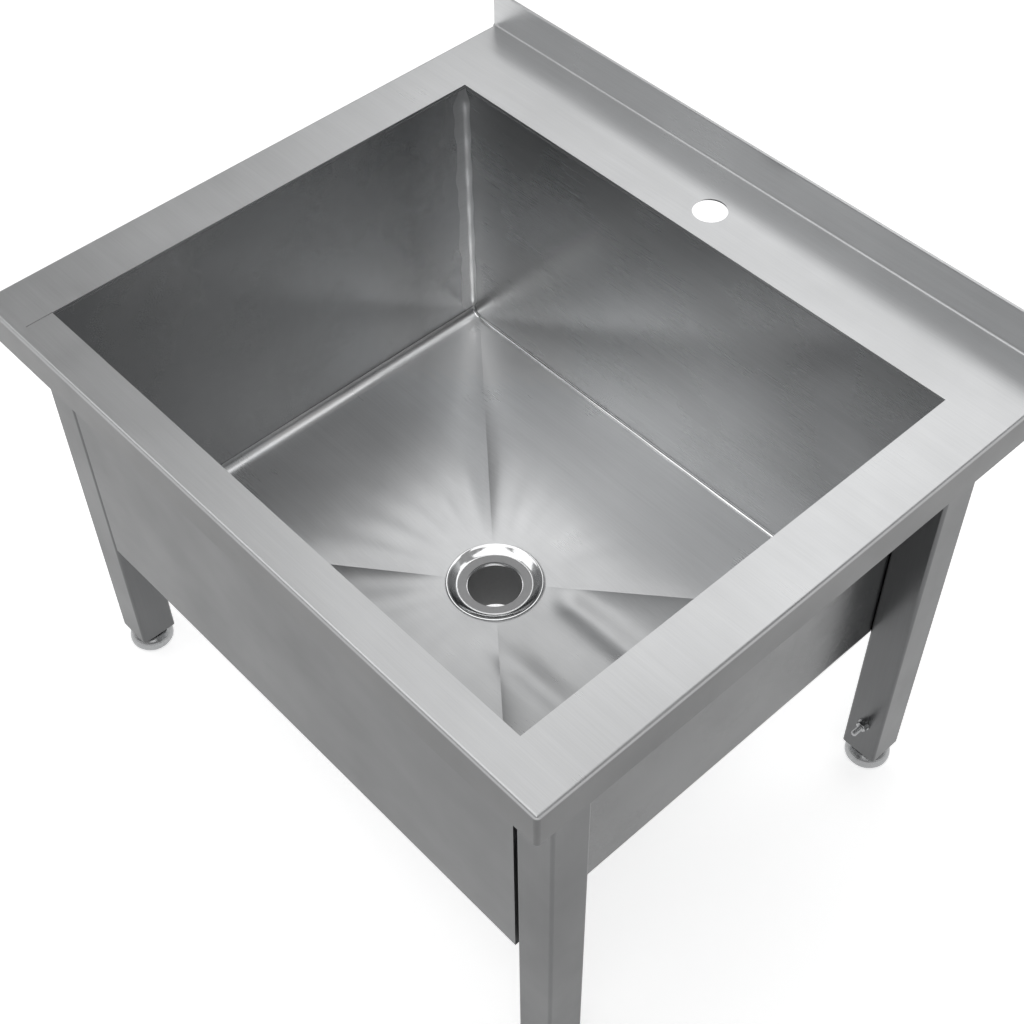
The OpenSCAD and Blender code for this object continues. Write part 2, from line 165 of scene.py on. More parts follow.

# Bowl walls: painted shade that darkens the outside against the inside, change between them in the sheet's
# thickness, and a lighter zone beside the back left weld
WALL_OUTSIDE_PAINTED_SHADE = 0.34
WALL_SKIN = 0.2
LIGHTER_ZONE_REACH = 75 * MM
LIGHTER_ZONE_SHARE = 1.6

# Bowl floor: painted highlight on its left fold, and painted light and shade from front to back and from
# left to right
FOLD_PAINTED_LIGHT_SHARE = 1.35
FOLD_PAINTED_LIGHT_END = 1.4
FLOOR_DEPTH_PAINTED_LIGHT = (0.44, 1.26)
FLOOR_WIDTH_PAINTED_LIGHT = (1.85, 0.62)

# Waste flange
WELL_R = 37 * MM
SEAT_R = 36 * MM
THROAT_R = 26.75 * MM
THROAT_WIDE_R = 27.25 * MM
SPIGOT_R = 29.8 * MM
SPIGOT_ROOT = 0.9 * MM
SPIGOT_PITCH = 2.3 * MM
SPIGOT_LEN = 72 * MM
RING_FALL = 4 * MM
SEAT_FALL = 5.2 * MM
LIP_FALL = 8.3 * MM
FLANGE_FLAT = 6.7 * MM
FLANGE_LIP_R = 0.8 * MM
FLANGE_PLAY = 0.2 * MM
FLANGE_UNDERCUT = 1.4 * MM
THROAT_EDGE = 0.4 * MM
BEAD_SHARE = 0.9
DISH_BEND = 1.25
DISH_STEPS = (0.98, 0.8, 0.6, 0.4, 0.2, 0.05)
SPIGOT_PLAIN = 27 * MM
# A ring of the spigot: shares of the root's depth inwards and of the pitch upwards
SPIGOT_RING = ((1, 0), (1, 0.1), (0, 0.45), (0, 0.6))
LATHE_STEPS = 144

# Threads and nuts; depth of a thread as a share of its pitch, and rows for each turn of it
STUD_PITCH = 1.0 * MM
SCREW_PITCH = 1.75 * MM
THREAD_SHARE = 0.6
THREAD_COLUMNS = 36
THREAD_ROWS = 6
NUT_COLUMNS = 72
NUT_FACE_SHARE = 0.95
NUT_PLAY = 0.05 * MM
ROD_END_SLOPE = 0.9

CORNERS = ("front_left", "front_right", "back_left", "back_right")
SIDES = (("left", -1), ("right", 1))

# Finish of each CAD node, by the start of its name; the first that fits counts
FINISH_OF = (("top_deck", "top"), ("bowl_floor", "floor"), ("front_panel", "panel"), ("leg_", "leg"),
             ("plug_", "plug"), ("side_rail", "rail"), ("front_rail", "rail"), ("rear_rail", "rail"),
             ("waste_flange", "chrome"), ("waste_backnut", "chrome"), ("waste_", "rubber"),
             ("earth_", "foot"), ("screw_", "foot"), ("locknut_", "foot"), ("pad_", "foot"))


def new_tree(name):
    """A material with an empty node tree, and its nodes and links."""
    mat = bpy.data.materials.new(name)
    mat.use_nodes = True
    mat.node_tree.nodes.clear()
    return mat, mat.node_tree.nodes, mat.node_tree.links


def place(node, x, y):
    node.location = (x, y)
    return node


def stretched_noise(nodes, links, coords, scale, detail, x, y):
    """Noise stretched by a scale per axis, in features per metre."""
    mapping = place(nodes.new("ShaderNodeMapping"), x, y)
    mapping.inputs["Scale"].default_value = scale
    noise = place(nodes.new("ShaderNodeTexNoise"), x + 200, y)
    noise.inputs["Scale"].default_value = 1.0
    noise.inputs["Detail"].default_value = detail
    noise.inputs["Roughness"].default_value = 0.6
    links.new(coords, mapping.inputs["Vector"])
    links.new(mapping.outputs["Vector"], noise.inputs["Vector"])
    return noise.outputs["Fac"]


def remap(nodes, links, value, low, high, x, y, start=0.3, end=0.7):
    """Maps a noise value onto a range."""
    node = place(nodes.new("ShaderNodeMapRange"), x, y)
    node.inputs["From Min"].default_value = start
    node.inputs["From Max"].default_value = end
    node.inputs["To Min"].default_value = low
    node.inputs["To Max"].default_value = high
    links.new(value, node.inputs["Value"])
    return node.outputs["Result"]


def grain_scale(direction, fine, long):
    return tuple(long if axis else fine for axis in direction)


def tinted(nodes, links, colour, shade, x, y):
    """Multiplies a colour, given or linked, by a shade, and keeps it at 1 or below."""
    mix = place(nodes.new("ShaderNodeMix"), x, y)
    mix.data_type = "RGBA"
    mix.blend_type = "MULTIPLY"
    mix.inputs["Factor"].default_value = 1.0
    mix.clamp_result = True
    if isinstance(colour, tuple):
        mix.inputs["A"].default_value = (*colour, 1)
    else:
        links.new(colour, mix.inputs["A"])
    links.new(shade, mix.inputs["B"])
    return mix.outputs["Result"]


def painted_light_ramp(nodes, links, coords, colour, axis, start, end, from_share, to_share):
    """Paints light or shade onto a colour along one axis, over a ramp."""
    parts = place(nodes.new("ShaderNodeSeparateXYZ"), -700, 500)
    links.new(coords, parts.inputs[0])
    shade = remap(nodes, links, parts.outputs[axis], from_share, to_share, -450, 500, start, end)
    return tinted(nodes, links, colour, shade, 300, 400)


def joined(nodes, links, operation, first, second, x, y):
    """Joins two linked values by an operation."""
    node = place(nodes.new("ShaderNodeMath"), x, y)
    node.operation = operation
    links.new(first, node.inputs[0])
    links.new(second, node.inputs[1])
    return node.outputs[0]


def bumped(nodes, links, height, strength, distance, x, y, under=None):
    """Normal of a bump, on top of another normal if one is given."""
    bump = place(nodes.new("ShaderNodeBump"), x, y)
    bump.inputs["Strength"].default_value = strength
    bump.inputs["Distance"].default_value = distance
    links.new(height, bump.inputs["Height"])
    if under is not None:
        links.new(under, bump.inputs["Normal"])
    return bump.outputs["Normal"]


def grain_tangent(nodes, links, shader, grain, aniso):
    """Stretches the highlights across the grain."""
    shader.inputs["Anisotropic"].default_value = aniso
    tangent = place(nodes.new("ShaderNodeCombineXYZ"), 350, -600)
    for axis in range(3):
        tangent.inputs[axis].default_value = grain[axis]
    links.new(tangent.outputs["Vector"], shader.inputs["Tangent"])


def brushed(name, colour, roughness, grain, aniso=0.6, fine=1100, wave=SHEET_WAVE, painted_ramps=()):
    """Brushed stainless: scratches along the grain, slow clouds and a slight buckle of the sheet."""
    mat, nodes, links = new_tree(name)
    out = place(nodes.new("ShaderNodeOutputMaterial"), 900, 0)
    shader = place(nodes.new("ShaderNodeBsdfPrincipled"), 600, 0)
    coords = place(nodes.new("ShaderNodeTexCoord"), -900, 0).outputs["Object"]
    scratch = stretched_noise(nodes, links, coords, grain_scale(grain, fine, SCRATCH_LONG), 3.0, -700, 200)
    streak = stretched_noise(nodes, links, coords, grain_scale(grain, *STREAKS), 4.0, -700, -50)
    cloud = stretched_noise(nodes, links, coords, CLOUDS, 3.0, -700, -300)
    slow = stretched_noise(nodes, links, coords, BUCKLES, 1.0, -700, -550)
    shade = joined(nodes, links, "MULTIPLY", remap(nodes, links, scratch, *SCRATCH_SHADES, -450, 250),
                   remap(nodes, links, streak, *STREAK_SHADES, -450, 50), -250, 200)
    base = tinted(nodes, links, colour, shade, 100, 250)
    # Painted light and shade, each a ramp along one axis
    for ramp in painted_ramps:
        base = painted_light_ramp(nodes, links, coords, base, *ramp)
    links.new(base, shader.inputs["Base Color"])
    low, high = roughness - ROUGH_SPREAD, roughness + ROUGH_SPREAD
    rough = joined(nodes, links, "ADD", remap(nodes, links, cloud, low, high, -450, -300),
                   remap(nodes, links, scratch, -SCRATCH_ROUGH, SCRATCH_ROUGH, -250, -100), -50, -150)
    links.new(rough, shader.inputs["Roughness"])
    buckle = bumped(nodes, links, slow, 1.0, wave, 0, -550)
    normal = bumped(nodes, links, scratch, SCRATCH_STRENGTH, SCRATCH_DEPTH, 200, -400, under=buckle)
    links.new(normal, shader.inputs["Normal"])
    shader.inputs["Metallic"].default_value = 1.0
    grain_tangent(nodes, links, shader, grain, aniso)
    links.new(shader.outputs["BSDF"], out.inputs["Surface"])
    return mat


def plain(name, colour, roughness, metallic=0.0, speck=250, depth=0.0):
    """A turned, moulded or polished finish with a faint mottle."""
    mat, nodes, links = new_tree(name)
    out = place(nodes.new("ShaderNodeOutputMaterial"), 500, 0)
    shader = place(nodes.new("ShaderNodeBsdfPrincipled"), 250, 0)
    coords = place(nodes.new("ShaderNodeTexCoord"), -700, 0).outputs["Object"]
    mottle = stretched_noise(nodes, links, coords, (speck, speck, speck), 4.0, -550, 0)
    base = tinted(nodes, links, colour, remap(nodes, links, mottle, *MOTTLE_SHADES, -200, 150), 0, 150)
    links.new(base, shader.inputs["Base Color"])
    low, high = max(roughness - ROUGH_SPREAD, SMOOTHEST), roughness + ROUGH_SPREAD
    rough = remap(nodes, links, mottle, low, high, -200, -100)
    links.new(rough, shader.inputs["Roughness"])
    shader.inputs["Metallic"].default_value = metallic
    if depth:
        links.new(bumped(nodes, links, mottle, MOTTLE_STRENGTH, depth, 0, -250), shader.inputs["Normal"])
    links.new(shader.outputs["BSDF"], out.inputs["Surface"])
    return mat


def dress(node, mat):
    """Gives a CAD node its material."""
    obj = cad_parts[node]
    obj.data.materials.clear()
    obj.data.materials.append(mat)
    return obj


def node_box(node):
    """Lowest and highest corner of a CAD node, in the row frame."""
    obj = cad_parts[node]
    corners = [obj.matrix_world @ Vector(corner) for corner in obj.bound_box]
    return [Vector(pick(c[i] for c in corners) for i in range(3)) for pick in (min, max)]


def middle(node):
    low, high = node_box(node)
    return (low + high) / 2


def piece(name, verts, faces, mats, body=BODY, sharp=35, stands_for=()):
    """A mesh in the row frame that rides a body, smooth but for its sharp edges."""
    mesh = bpy.data.meshes.new(name)
    mesh.from_pydata([tuple(v) for v in verts], [], faces)
    mesh.shade_smooth()
    mesh.set_sharp_from_angle(angle=math.radians(sharp))
    for mat in mats:
        mesh.materials.append(mat)
    obj = bpy.data.objects.new(name, mesh)
    bpy.context.scene.collection.objects.link(obj)
    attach(obj, body)
    if stands_for:
        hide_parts(*stands_for)
    return obj


def grid_faces(rows, columns, closed=False, first=0):
    """Faces of a grid of rows; a closed grid joins its last column to its first."""
    last = columns if closed else columns - 1
    return [(first + r * columns + c, first + r * columns + (c + 1) % columns,
             first + (r + 1) * columns + (c + 1) % columns, first + (r + 1) * columns + c)
            for r in range(rows - 1) for c in range(last)]


def arc(cx, cz, radius, start, end, steps):
    """Points of an arc in a profile, angles in degrees."""
    turns = [math.radians(start + (end - start) * i / steps) for i in range(steps + 1)]
    return [(cx + radius * math.cos(t), cz + radius * math.sin(t)) for t in turns]


def floor_ray(side, share, low, high):
    """Point on the edge of the flat floor, going round from the front left corner."""
    corners = [(low.x, low.y), (high.x, low.y), (high.x, high.y), (low.x, high.y)]
    (ax, ay), (bx, by) = corners[side], corners[(side + 1) % 4]
    return ax + (bx - ax) * share, ay + (by - ay) * share


def fade(value, start, end):
    """Smooth step from 0 at the start to 1 at the end."""
    share = min(max((value - start) / (end - start), 0.0), 1.0)
    return share * share * (3 - 2 * share)


def troughs(x, y):
    """Shallow hollows that run to the right beside the waste, left by forming the creases."""
    total = 0.0
    for place_y, start, end in TROUGHS:
        along = fade(x, start, start + TROUGH_IN) * (1 - fade(x, end - TROUGH_OUT, end))
        total += TROUGH_DEPTH * along * math.exp(-((y - place_y) / TROUGH_HALF) ** 2)
    return total


def floor_height(share, across, angle, z_low, z_high):
    """Height of the floor: straight fall, pillowed facets and press marks that fade outwards."""
    aside = min(across, 1 - across)
    pillow = PILLOW * math.sin(math.pi * share) * (1 - math.exp(-aside / CREASE_SHARE))
    facing = math.cos((angle - math.radians(PRESS_TOWARDS)) / 2) ** PRESS_FOCUS
    sector = PRESS_LEAST + (1 - PRESS_LEAST) * facing
    near = math.exp(-((share - PRESS_AT) / PRESS_SPREAD) ** 2)
    press = sector * PRESS_MARK * math.cos(PRESS_COUNT * angle) * near
    return z_low + (z_high - z_low) * share + pillow + press


def creased_floor(rays, z_floor):
    """Rings of points from the hole of the waste outwards; a ray is its share of a side, x and y."""
    centre = middle("waste_flange")
    z_waste = node_box("waste_flange")[0].z + SPIGOT_LEN
    verts = []
    for radius in (HOLE_R, RECESS_LOW_R):
        for _, x, y in rays:
            way = Vector((x - centre.x, y - centre.y, 0)).normalized()
            verts.append((centre.x + way.x * radius, centre.y + way.y * radius, z_waste - RECESS_H))
    for ring in range(FLOOR_RINGS + 1):
        share = (ring / FLOOR_RINGS) ** RING_BUNCH
        for across, x, y in rays:
            way = Vector((x - centre.x, y - centre.y, 0))
            start = way.normalized() * RECESS_R
            flat = start + (way - start) * share
            z = floor_height(share, across, math.atan2(way.y, way.x), z_waste, z_floor)
            z -= troughs(flat.x, flat.y) * fade(share, *TROUGH_SHARES)
            verts.append((centre.x + flat.x, centre.y + flat.y, z))
    return verts


def bowl_floor(mat):
    """Floor sheet creased from the corners to the waste, with the folds of its two sides."""
    low, high = node_box("bowl_floor")
    flat_low = Vector((low.x + SHEET + FOLD_R, low.y, 0))
    flat_high = Vector((high.x - SHEET - FOLD_R, high.y, 0))
    spread = [(1 - math.cos(math.pi * step / RAYS_PER_SIDE)) / 2 for step in range(RAYS_PER_SIDE)]
    rays = [(across, *floor_ray(side, across, flat_low, flat_high))
            for side in range(4) for across in spread]
    verts = creased_floor(rays, high.z - FOLD_R)
    faces = grid_faces(FLOOR_RINGS + 3, len(rays), closed=True)
    for _, sign in SIDES:
        first = len(verts)
        for x, z in arc(flat_high.x, high.z, FOLD_R, -90, 0, FOLD_STEPS):
            for share in spread + [1.0]:
                verts.append((sign * x, low.y + (high.y - low.y) * share, z))
        fold = grid_faces(FOLD_STEPS + 1, RAYS_PER_SIDE + 1, first=first)
        faces += fold if sign < 0 else [f[::-1] for f in fold]
    obj = piece("bowl_floor_sheet", verts, faces, [mat], sharp=50,
                stands_for=("bowl_floor",))
    point_up(obj)
    thick = obj.modifiers.new("thickness", "SOLIDIFY")
    thick.thickness = SHEET
    thick.offset = -1


def point_up(obj):
    """Turns every face of an open sheet to the top side."""
    bm = bmesh.new()
    bm.from_mesh(obj.data)
    bmesh.ops.remove_doubles(bm, verts=bm.verts, dist=MERGE_WITHIN)
    bm.normal_update()
    for face in bm.faces:
        inward = Vector((-face.calc_center_median().x, 0, 0)).normalized()
        if face.normal.z + SIDE_WEIGHT * face.normal.dot(inward) < 0:
            face.normal_flip()
    bm.to_mesh(obj.data)
    bm.free()


def ends(share):
    """Narrows a weld at both of its ends."""
    return WELD_TIP + (1 - WELD_TIP) * fade(share, *WELD_START) * (1 - fade(share, *WELD_STOP))


def wobble(share, waves):
    """Sum of a few waves, for lines that a hand has ground or welded."""
    return sum(size * math.sin(number * share + lag) for size, number, lag in waves)


def weld(name, start, end, side_a, side_b, radius, mat, rows=60, band=0.0):
    """Concave fillet between two walls, with a ground band of uneven width along the first."""
    start, end = Vector(start), Vector(end)
    a, b = Vector(side_a), Vector(side_b)
    verts = []
    for row in range(rows + 1):
        share = row / rows
        spot = start.lerp(end, share) + (a + b) * PROUD
        wander = 1 + wobble(share, BAND_WAVES)
        reach = radius * (1 + wobble(share, BEAD_WAVES)) * ends(share)
        if band:
            verts.append(spot + a * (reach + band * wander) - b * PROUD)
            verts.append(spot + a * (reach + band * wander * BAND_EDGE))
        for step in range(WELD_STEPS + 1):
            turn = math.radians(90 * step / WELD_STEPS)
            verts.append(spot + a * reach * (1 - math.sin(turn)) + b * reach * (1 - math.cos(turn)))
    columns = WELD_STEPS + 1 + (2 if band else 0)
    piece(name, verts, grid_faces(rows + 1, columns), [mat], sharp=60)


def seam(name, start, end, out, mat, rows=80):
    """Half-round line that stands out of a wall, with a slight wander."""
    start, end, out = Vector(start), Vector(end), Vector(out)
    side = (end - start).normalized().cross(out)
    verts = []
    for row in range(rows + 1):
        share = row / rows
        spot = start.lerp(end, share) + side * SEAM_R * wobble(share, SEAM_WAVES)
        for step in range(SEAM_STEPS + 1):
            turn = math.radians(180 * step / SEAM_STEPS)
            verts.append(spot + side * SEAM_R * math.cos(turn) + out * SEAM_R * math.sin(turn))
    piece(name, verts, grid_faces(rows + 1, SEAM_STEPS + 1), [mat], sharp=80)


def fold_weld(name, sx, x, y, sy, z_fold, mat):
    """Weld that follows the end of a side fold, between the fold and an end wall."""
    verts = []
    for px, pz in arc(x - FOLD_R, z_fold, FOLD_R - PROUD, 0, -90, FOLD_STEPS):
        spot = Vector((sx * px, y + sy * PROUD, pz))
        inward = (Vector((sx * (x - FOLD_R), spot.y, z_fold)) - spot).normalized()
        for step in range(WELD_STEPS + 1):
            turn = math.radians(90 * step / WELD_STEPS)
            verts.append(spot + inward * EDGE_WELD_R * (1 - math.sin(turn))
                         + Vector((0, sy, 0)) * EDGE_WELD_R * (1 - math.cos(turn)))
    piece(name, verts, grid_faces(FOLD_STEPS + 1, WELD_STEPS + 1), [mat], sharp=60)


def bowl_seams(ground, bright, dark):
    """Ground corner welds, welds along the floor's ends, and the seam lines of the walls."""
    low, high = node_box("bowl_floor")
    top = node_box("bowl_wall_left")[1].z
    x, z_fold, z_floor, z_rim = high.x - SHEET, high.z, high.z - FOLD_R, top - RIM_SEAM_DROP
    walls = ((low.y, 1, "front"), (high.y, -1, "back"))
    for side, sx in SIDES:
        for y, sy, end in walls:
            weld("weld_" + end + "_" + side, (sx * x, y, z_fold), (sx * x, y, top),
                 (0, sy, 0), (-sx, 0, 0), WELD_R, ground, band=GROUND_BAND if end == "back" else 0.0)
            fold_weld("fold_weld_" + end + "_" + side, sx, x, y, sy, z_fold, bright)
        seam("fold_seam_" + side, (sx * x, low.y, z_fold), (sx * x, high.y, z_fold), (-sx, 0, 0), dark)
        seam("rim_seam_" + side, (sx * x, low.y, z_rim), (sx * x, high.y, z_rim), (-sx, 0, 0), dark)
    for y, sy, end in walls:
        weld("floor_weld_" + end, (-x + FOLD_R, y, z_floor), (x - FOLD_R, y, z_floor),
             (0, 0, 1), (0, sy, 0), EDGE_WELD_R, bright)
        seam("rim_seam_" + end, (-x, y, z_rim), (x, y, z_rim), (0, sy, 0), dark)
    deck = node_box("top_deck")[1].z - UPSTAND
    seam("crease_mark", (-x, low.y, deck), (-x, low.y - CREASE_MARK, deck), (0, 0, 1), dark,
         rows=24)


def lathe(name, profile, at, mats, dark_rows=(), body=BODY, stands_for=()):
    """Solid of revolution about an upright axis from a closed profile of radius and height."""
    verts = []
    for radius, z in profile:
        for step in range(LATHE_STEPS):
            turn = 2 * math.pi * step / LATHE_STEPS
            verts.append((at.x + radius * math.cos(turn), at.y + radius * math.sin(turn), at.z + z))
    faces = grid_faces(len(profile), LATHE_STEPS, closed=True)
    last = (len(profile) - 1) * LATHE_STEPS
    faces += [(last + c, last + (c + 1) % LATHE_STEPS, (c + 1) % LATHE_STEPS, c)
              for c in range(LATHE_STEPS)]
    obj = piece(name, verts, faces, mats, body, sharp=40, stands_for=stands_for)
    for row in dark_rows:
        for face in obj.data.polygons[row * LATHE_STEPS:(row + 1) * LATHE_STEPS]:
            face.material_index = 1
    outward(obj)


def outward(obj):
    """Turns the faces of a closed mesh outwards."""
    bm = bmesh.new()
    bm.from_mesh(obj.data)
    bmesh.ops.recalc_face_normals(bm, faces=bm.faces)
    bm.to_mesh(obj.data)
    bm.free()


def waste_flange(chrome, throat_shade):
    """Dished flange with a rolled lip, a bright bead round the seat, a threaded spigot, and its bore painted
    dark as shade.
    """
    low, high = node_box("waste_flange")
    at = middle("waste_flange")
    at.z = low.z + SPIGOT_LEN
    rim_r, crown = high.x - at.x, high.z - at.z
    bead = (WELL_R - SEAT_R) / 2
    slope_r = rim_r - 2 * FLANGE_LIP_R - WELL_R
    profile = arc(rim_r - FLANGE_LIP_R, crown - FLANGE_LIP_R, FLANGE_LIP_R, -70, 90, 8)
    profile += [(WELL_R + slope_r * s, crown - (RING_FALL + crown) * (1 - s ** DISH_BEND))
                for s in DISH_STEPS]
    profile += arc(WELL_R - bead, -RING_FALL, bead * BEAD_SHARE, 20, 180, 6)
    profile += [(SEAT_R, -SEAT_FALL), (THROAT_R + THROAT_EDGE, -SEAT_FALL),
                (THROAT_R, -SEAT_FALL - THROAT_EDGE)]
    throat = len(profile)
    profile += [(THROAT_R, -LIP_FALL), (THROAT_WIDE_R, -LIP_FALL), (THROAT_WIDE_R, -SPIGOT_LEN)]
    for turn in range(int((SPIGOT_LEN - SPIGOT_PLAIN) / SPIGOT_PITCH)):
        z = turn * SPIGOT_PITCH - SPIGOT_LEN
        profile += [(SPIGOT_R - SPIGOT_ROOT * inwards, z + SPIGOT_PITCH * up) for inwards, up in SPIGOT_RING]
    profile += [(SPIGOT_R, -FLANGE_FLAT), (RECESS_LOW_R - FLANGE_PLAY, -FLANGE_FLAT),
                (rim_r - FLANGE_UNDERCUT, 0)]
    lathe("waste_flange_turned", profile, at, [chrome, throat_shade],
          range(throat, throat + 3), stands_for=("waste_flange",))


def threaded_rod(name, matrix, radius, length, pitch, mat, body, stands_for):
    """Round rod with a helical thread and chamfered ends, along its own Z."""
    rows = int(length / pitch * THREAD_ROWS)
    depth = THREAD_SHARE * pitch
    verts = []
    for row in range(rows + 1):
        z = length * row / rows
        end = min(z, length - z)
        cap = radius - max(0.0, pitch - end) * ROD_END_SLOPE
        for column in range(THREAD_COLUMNS):
            share = column / THREAD_COLUMNS
            phase = (z / pitch - share) % 1.0
            r = min(radius - depth * (1 - abs(2 * phase - 1)), cap)
            turn = 2 * math.pi * share
            verts.append(matrix @ Vector((r * math.cos(turn), r * math.sin(turn), z)))
    faces = grid_faces(rows + 1, THREAD_COLUMNS, closed=True)
    faces.append(tuple(range(THREAD_COLUMNS))[::-1])
    faces.append(tuple(rows * THREAD_COLUMNS + c for c in range(THREAD_COLUMNS)))
    piece(name, verts, faces, [mat], body, sharp=50, stands_for=stands_for)


def nut(name, matrix, flats, height, bore, mat, body, stands_for):
    """Hexagon nut with its corners turned down to a cone at both faces, along its own Z."""
    half, face_r = flats / 2, flats / 2 * NUT_FACE_SHARE
    slope = math.tan(math.radians(30))
    verts = []
    for ring, z_share, falls in (("bore", 0, 0), ("face", 0, 0), ("flats", 0, 1),
                                 ("flats", 1, -1), ("face", 1, 0), ("bore", 1, 0)):
        for column in range(NUT_COLUMNS):
            degrees = 360 * column / NUT_COLUMNS
            turn = math.radians(degrees)
            hexagon = half / math.cos(math.radians(degrees % 60 - 30))
            r = {"bore": bore, "face": face_r, "flats": hexagon}[ring]
            z = height * z_share + falls * (hexagon - face_r) * slope
            verts.append(matrix @ Vector((r * math.cos(turn), r * math.sin(turn), z)))
    faces = grid_faces(6, NUT_COLUMNS, closed=True)
    last = 5 * NUT_COLUMNS
    faces += [(last + c, last + (c + 1) % NUT_COLUMNS, (c + 1) % NUT_COLUMNS, c)
              for c in range(NUT_COLUMNS)]
    outward(piece(name, verts, faces, [mat], body, sharp=20, stands_for=stands_for))


def feet(mat):
    """Threaded foot screws and their locknuts."""
    for corner in CORNERS:
        screw_low, screw_high = node_box("screw_" + corner)
        nut_low, nut_high = node_box("locknut_" + corner)
        spot = middle("screw_" + corner)
        radius = (screw_high.x - screw_low.x) / 2
        body = "foot_screw_" + corner
        at = Matrix.Translation((spot.x, spot.y, screw_low.z))
        threaded_rod("screw_thread_" + corner, at, radius, screw_high.z - screw_low.z, SCREW_PITCH, mat,
                     body, ("screw_" + corner,))
        at = Matrix.Translation((spot.x, spot.y, nut_low.z))
        nut("locknut_hex_" + corner, at, nut_high.y - nut_low.y, nut_high.z - nut_low.z,
            radius + NUT_PLAY, mat, body, ("locknut_" + corner,))


def earthing(mat):
    """Threaded earth stud with its nut, pointing to the front."""
    stud_low, stud_high = node_box("earth_stud")
    nut_low, nut_high = node_box("earth_nut")
    spot = middle("earth_stud")
    radius = (stud_high.x - stud_low.x) / 2
    forward = Matrix.Rotation(math.radians(90), 4, "X")
    at = Matrix.Translation((spot.x, stud_high.y, spot.z)) @ forward
    threaded_rod("earth_stud_thread", at, radius, stud_high.y - stud_low.y, STUD_PITCH, mat,
                 BODY, ("earth_stud",))
    at = Matrix.Translation((spot.x, nut_high.y, spot.z)) @ forward
    flats = min(nut_high.x - nut_low.x, nut_high.z - nut_low.z)
    nut("earth_nut_hex", at, flats, nut_high.y - nut_low.y, radius + NUT_PLAY, mat, BODY,
        ("earth_nut",))


def soften(node, width):
    """Breaks the sharp edges of a CAD node."""
    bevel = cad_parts[node].modifiers.new("edges", "BEVEL")
    bevel.width = width
    bevel.segments = 2
    bevel.limit_method = "ANGLE"
    bevel.angle_limit = math.radians(50)
    bevel.harden_normals = True


def dress_walls():
    """Walls of the bowl: satin inside, painted shade that darkens the outside, and lighter towards the back
    left weld.
    """
    for name, axis in (("left", "X"), ("right", "X"), ("front", "Y"), ("back", "Y")):
        low, high = node_box("bowl_wall_" + name)
        i = "XY".index(axis)
        inner_high = name in ("left", "front")
        # Painted shade: the outside of each wall is darker than its inside, changing within the sheet's
        # thickness
        shares = (WALL_OUTSIDE_PAINTED_SHADE, 1.0) if inner_high else (1.0, WALL_OUTSIDE_PAINTED_SHADE)
        thin = WALL_SKIN * (high[i] - low[i])
        painted_ramps = [(axis, low[i] + thin, high[i] - thin, *shares)]
        # The left wall is lighter towards the back, up to the ground band of its weld
        if name == "left":
            painted_ramps.append(("Y", high.y - LIGHTER_ZONE_REACH, high.y - GROUND_BAND, 1.0, LIGHTER_ZONE_SHARE))
        dress("bowl_wall_" + name, brushed("wall_steel_painted_shade_" + name, *WALL_STEEL, ALONG_X, aniso=0.5,
                                           wave=WALL_WAVE, painted_ramps=painted_ramps))


def make_finishes():
    """Materials by the names that FINISH_OF uses, and those of the pieces made here."""
    z_deck = node_box("top_deck")[1].z - UPSTAND
    low, high = node_box("bowl_floor")
    # Painted shade: the folded-down edges of the top are darker than its flat
    drop_painted_shade = ("Z", z_deck - DROP_SHADE_FADE[0], z_deck - DROP_SHADE_FADE[1], DROP_PAINTED_SHADE, 1.0)
    # Painted light and shade on the floor: lighter to the back, to the left, and on its left fold
    floor = [("Y", low.y, high.y, *FLOOR_DEPTH_PAINTED_LIGHT), ("X", low.x, high.x, *FLOOR_WIDTH_PAINTED_LIGHT),
             ("X", low.x + FOLD_R, low.x + FOLD_PAINTED_LIGHT_END * FOLD_R, FOLD_PAINTED_LIGHT_SHARE, 1.0)]
    return {
        "top": brushed("top_steel_painted_drop_shade", *TOP_STEEL, ALONG_X, painted_ramps=[drop_painted_shade]),
        "floor": brushed("floor_steel_painted_light", *FLOOR_STEEL, ALONG_X, aniso=0.2, painted_ramps=floor),
        "panel": brushed("panel_steel_painted_shade", *PANEL_SHADED_STEEL, ALONG_X),
        "leg": brushed("leg_steel_painted_shade", *LEG_SHADED_STEEL, ALONG_Z),
        "rail": brushed("rail_steel", *RAIL_STEEL, ALONG_X),
        "ground": brushed("ground_steel", *GROUND_STEEL, ALONG_Y, aniso=0.3, fine=1600),
        "bright": plain("weld_painted_highlight", *WELD_PAINTED_HIGHLIGHT, metallic=1.0, speck=700),
        "seam": plain("seam_line", *SEAM_DARK, metallic=1.0, speck=900),
        "chrome": plain("waste_chrome", *CHROME, metallic=1.0),
        "throat": plain("waste_throat_painted_shade", *THROAT_SHADE_GREY, speck=300),
        "rubber": plain("waste_rubber", *RUBBER_GREY, speck=600, depth=0.05 * MM),
        "plug": plain("plug_black", *PLUG_BLACK, speck=900, depth=0.04 * MM),
        "foot": plain("foot_metal", *FOOT_METAL, metallic=1.0)}


def dress_nodes(mats):
    """Gives the CAD nodes their materials, and two sheets softer edges."""
    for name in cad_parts:
        finish = next((key for start, key in FINISH_OF if name.startswith(start)), None)
        if finish:
            dress(name, mats[finish])
    dress_walls()
    soften("top_deck", DECK_EDGE)
    soften("front_panel", PANEL_EDGE)


def add_pieces(mats):
    """The pieces that this script makes, in place of CAD nodes or beside them."""
    bowl_floor(mats["floor"])
    bowl_seams(mats["ground"], mats["bright"], mats["seam"])
    waste_flange(mats["chrome"], mats["throat"])
    feet(mats["foot"])
    earthing(mats["foot"])


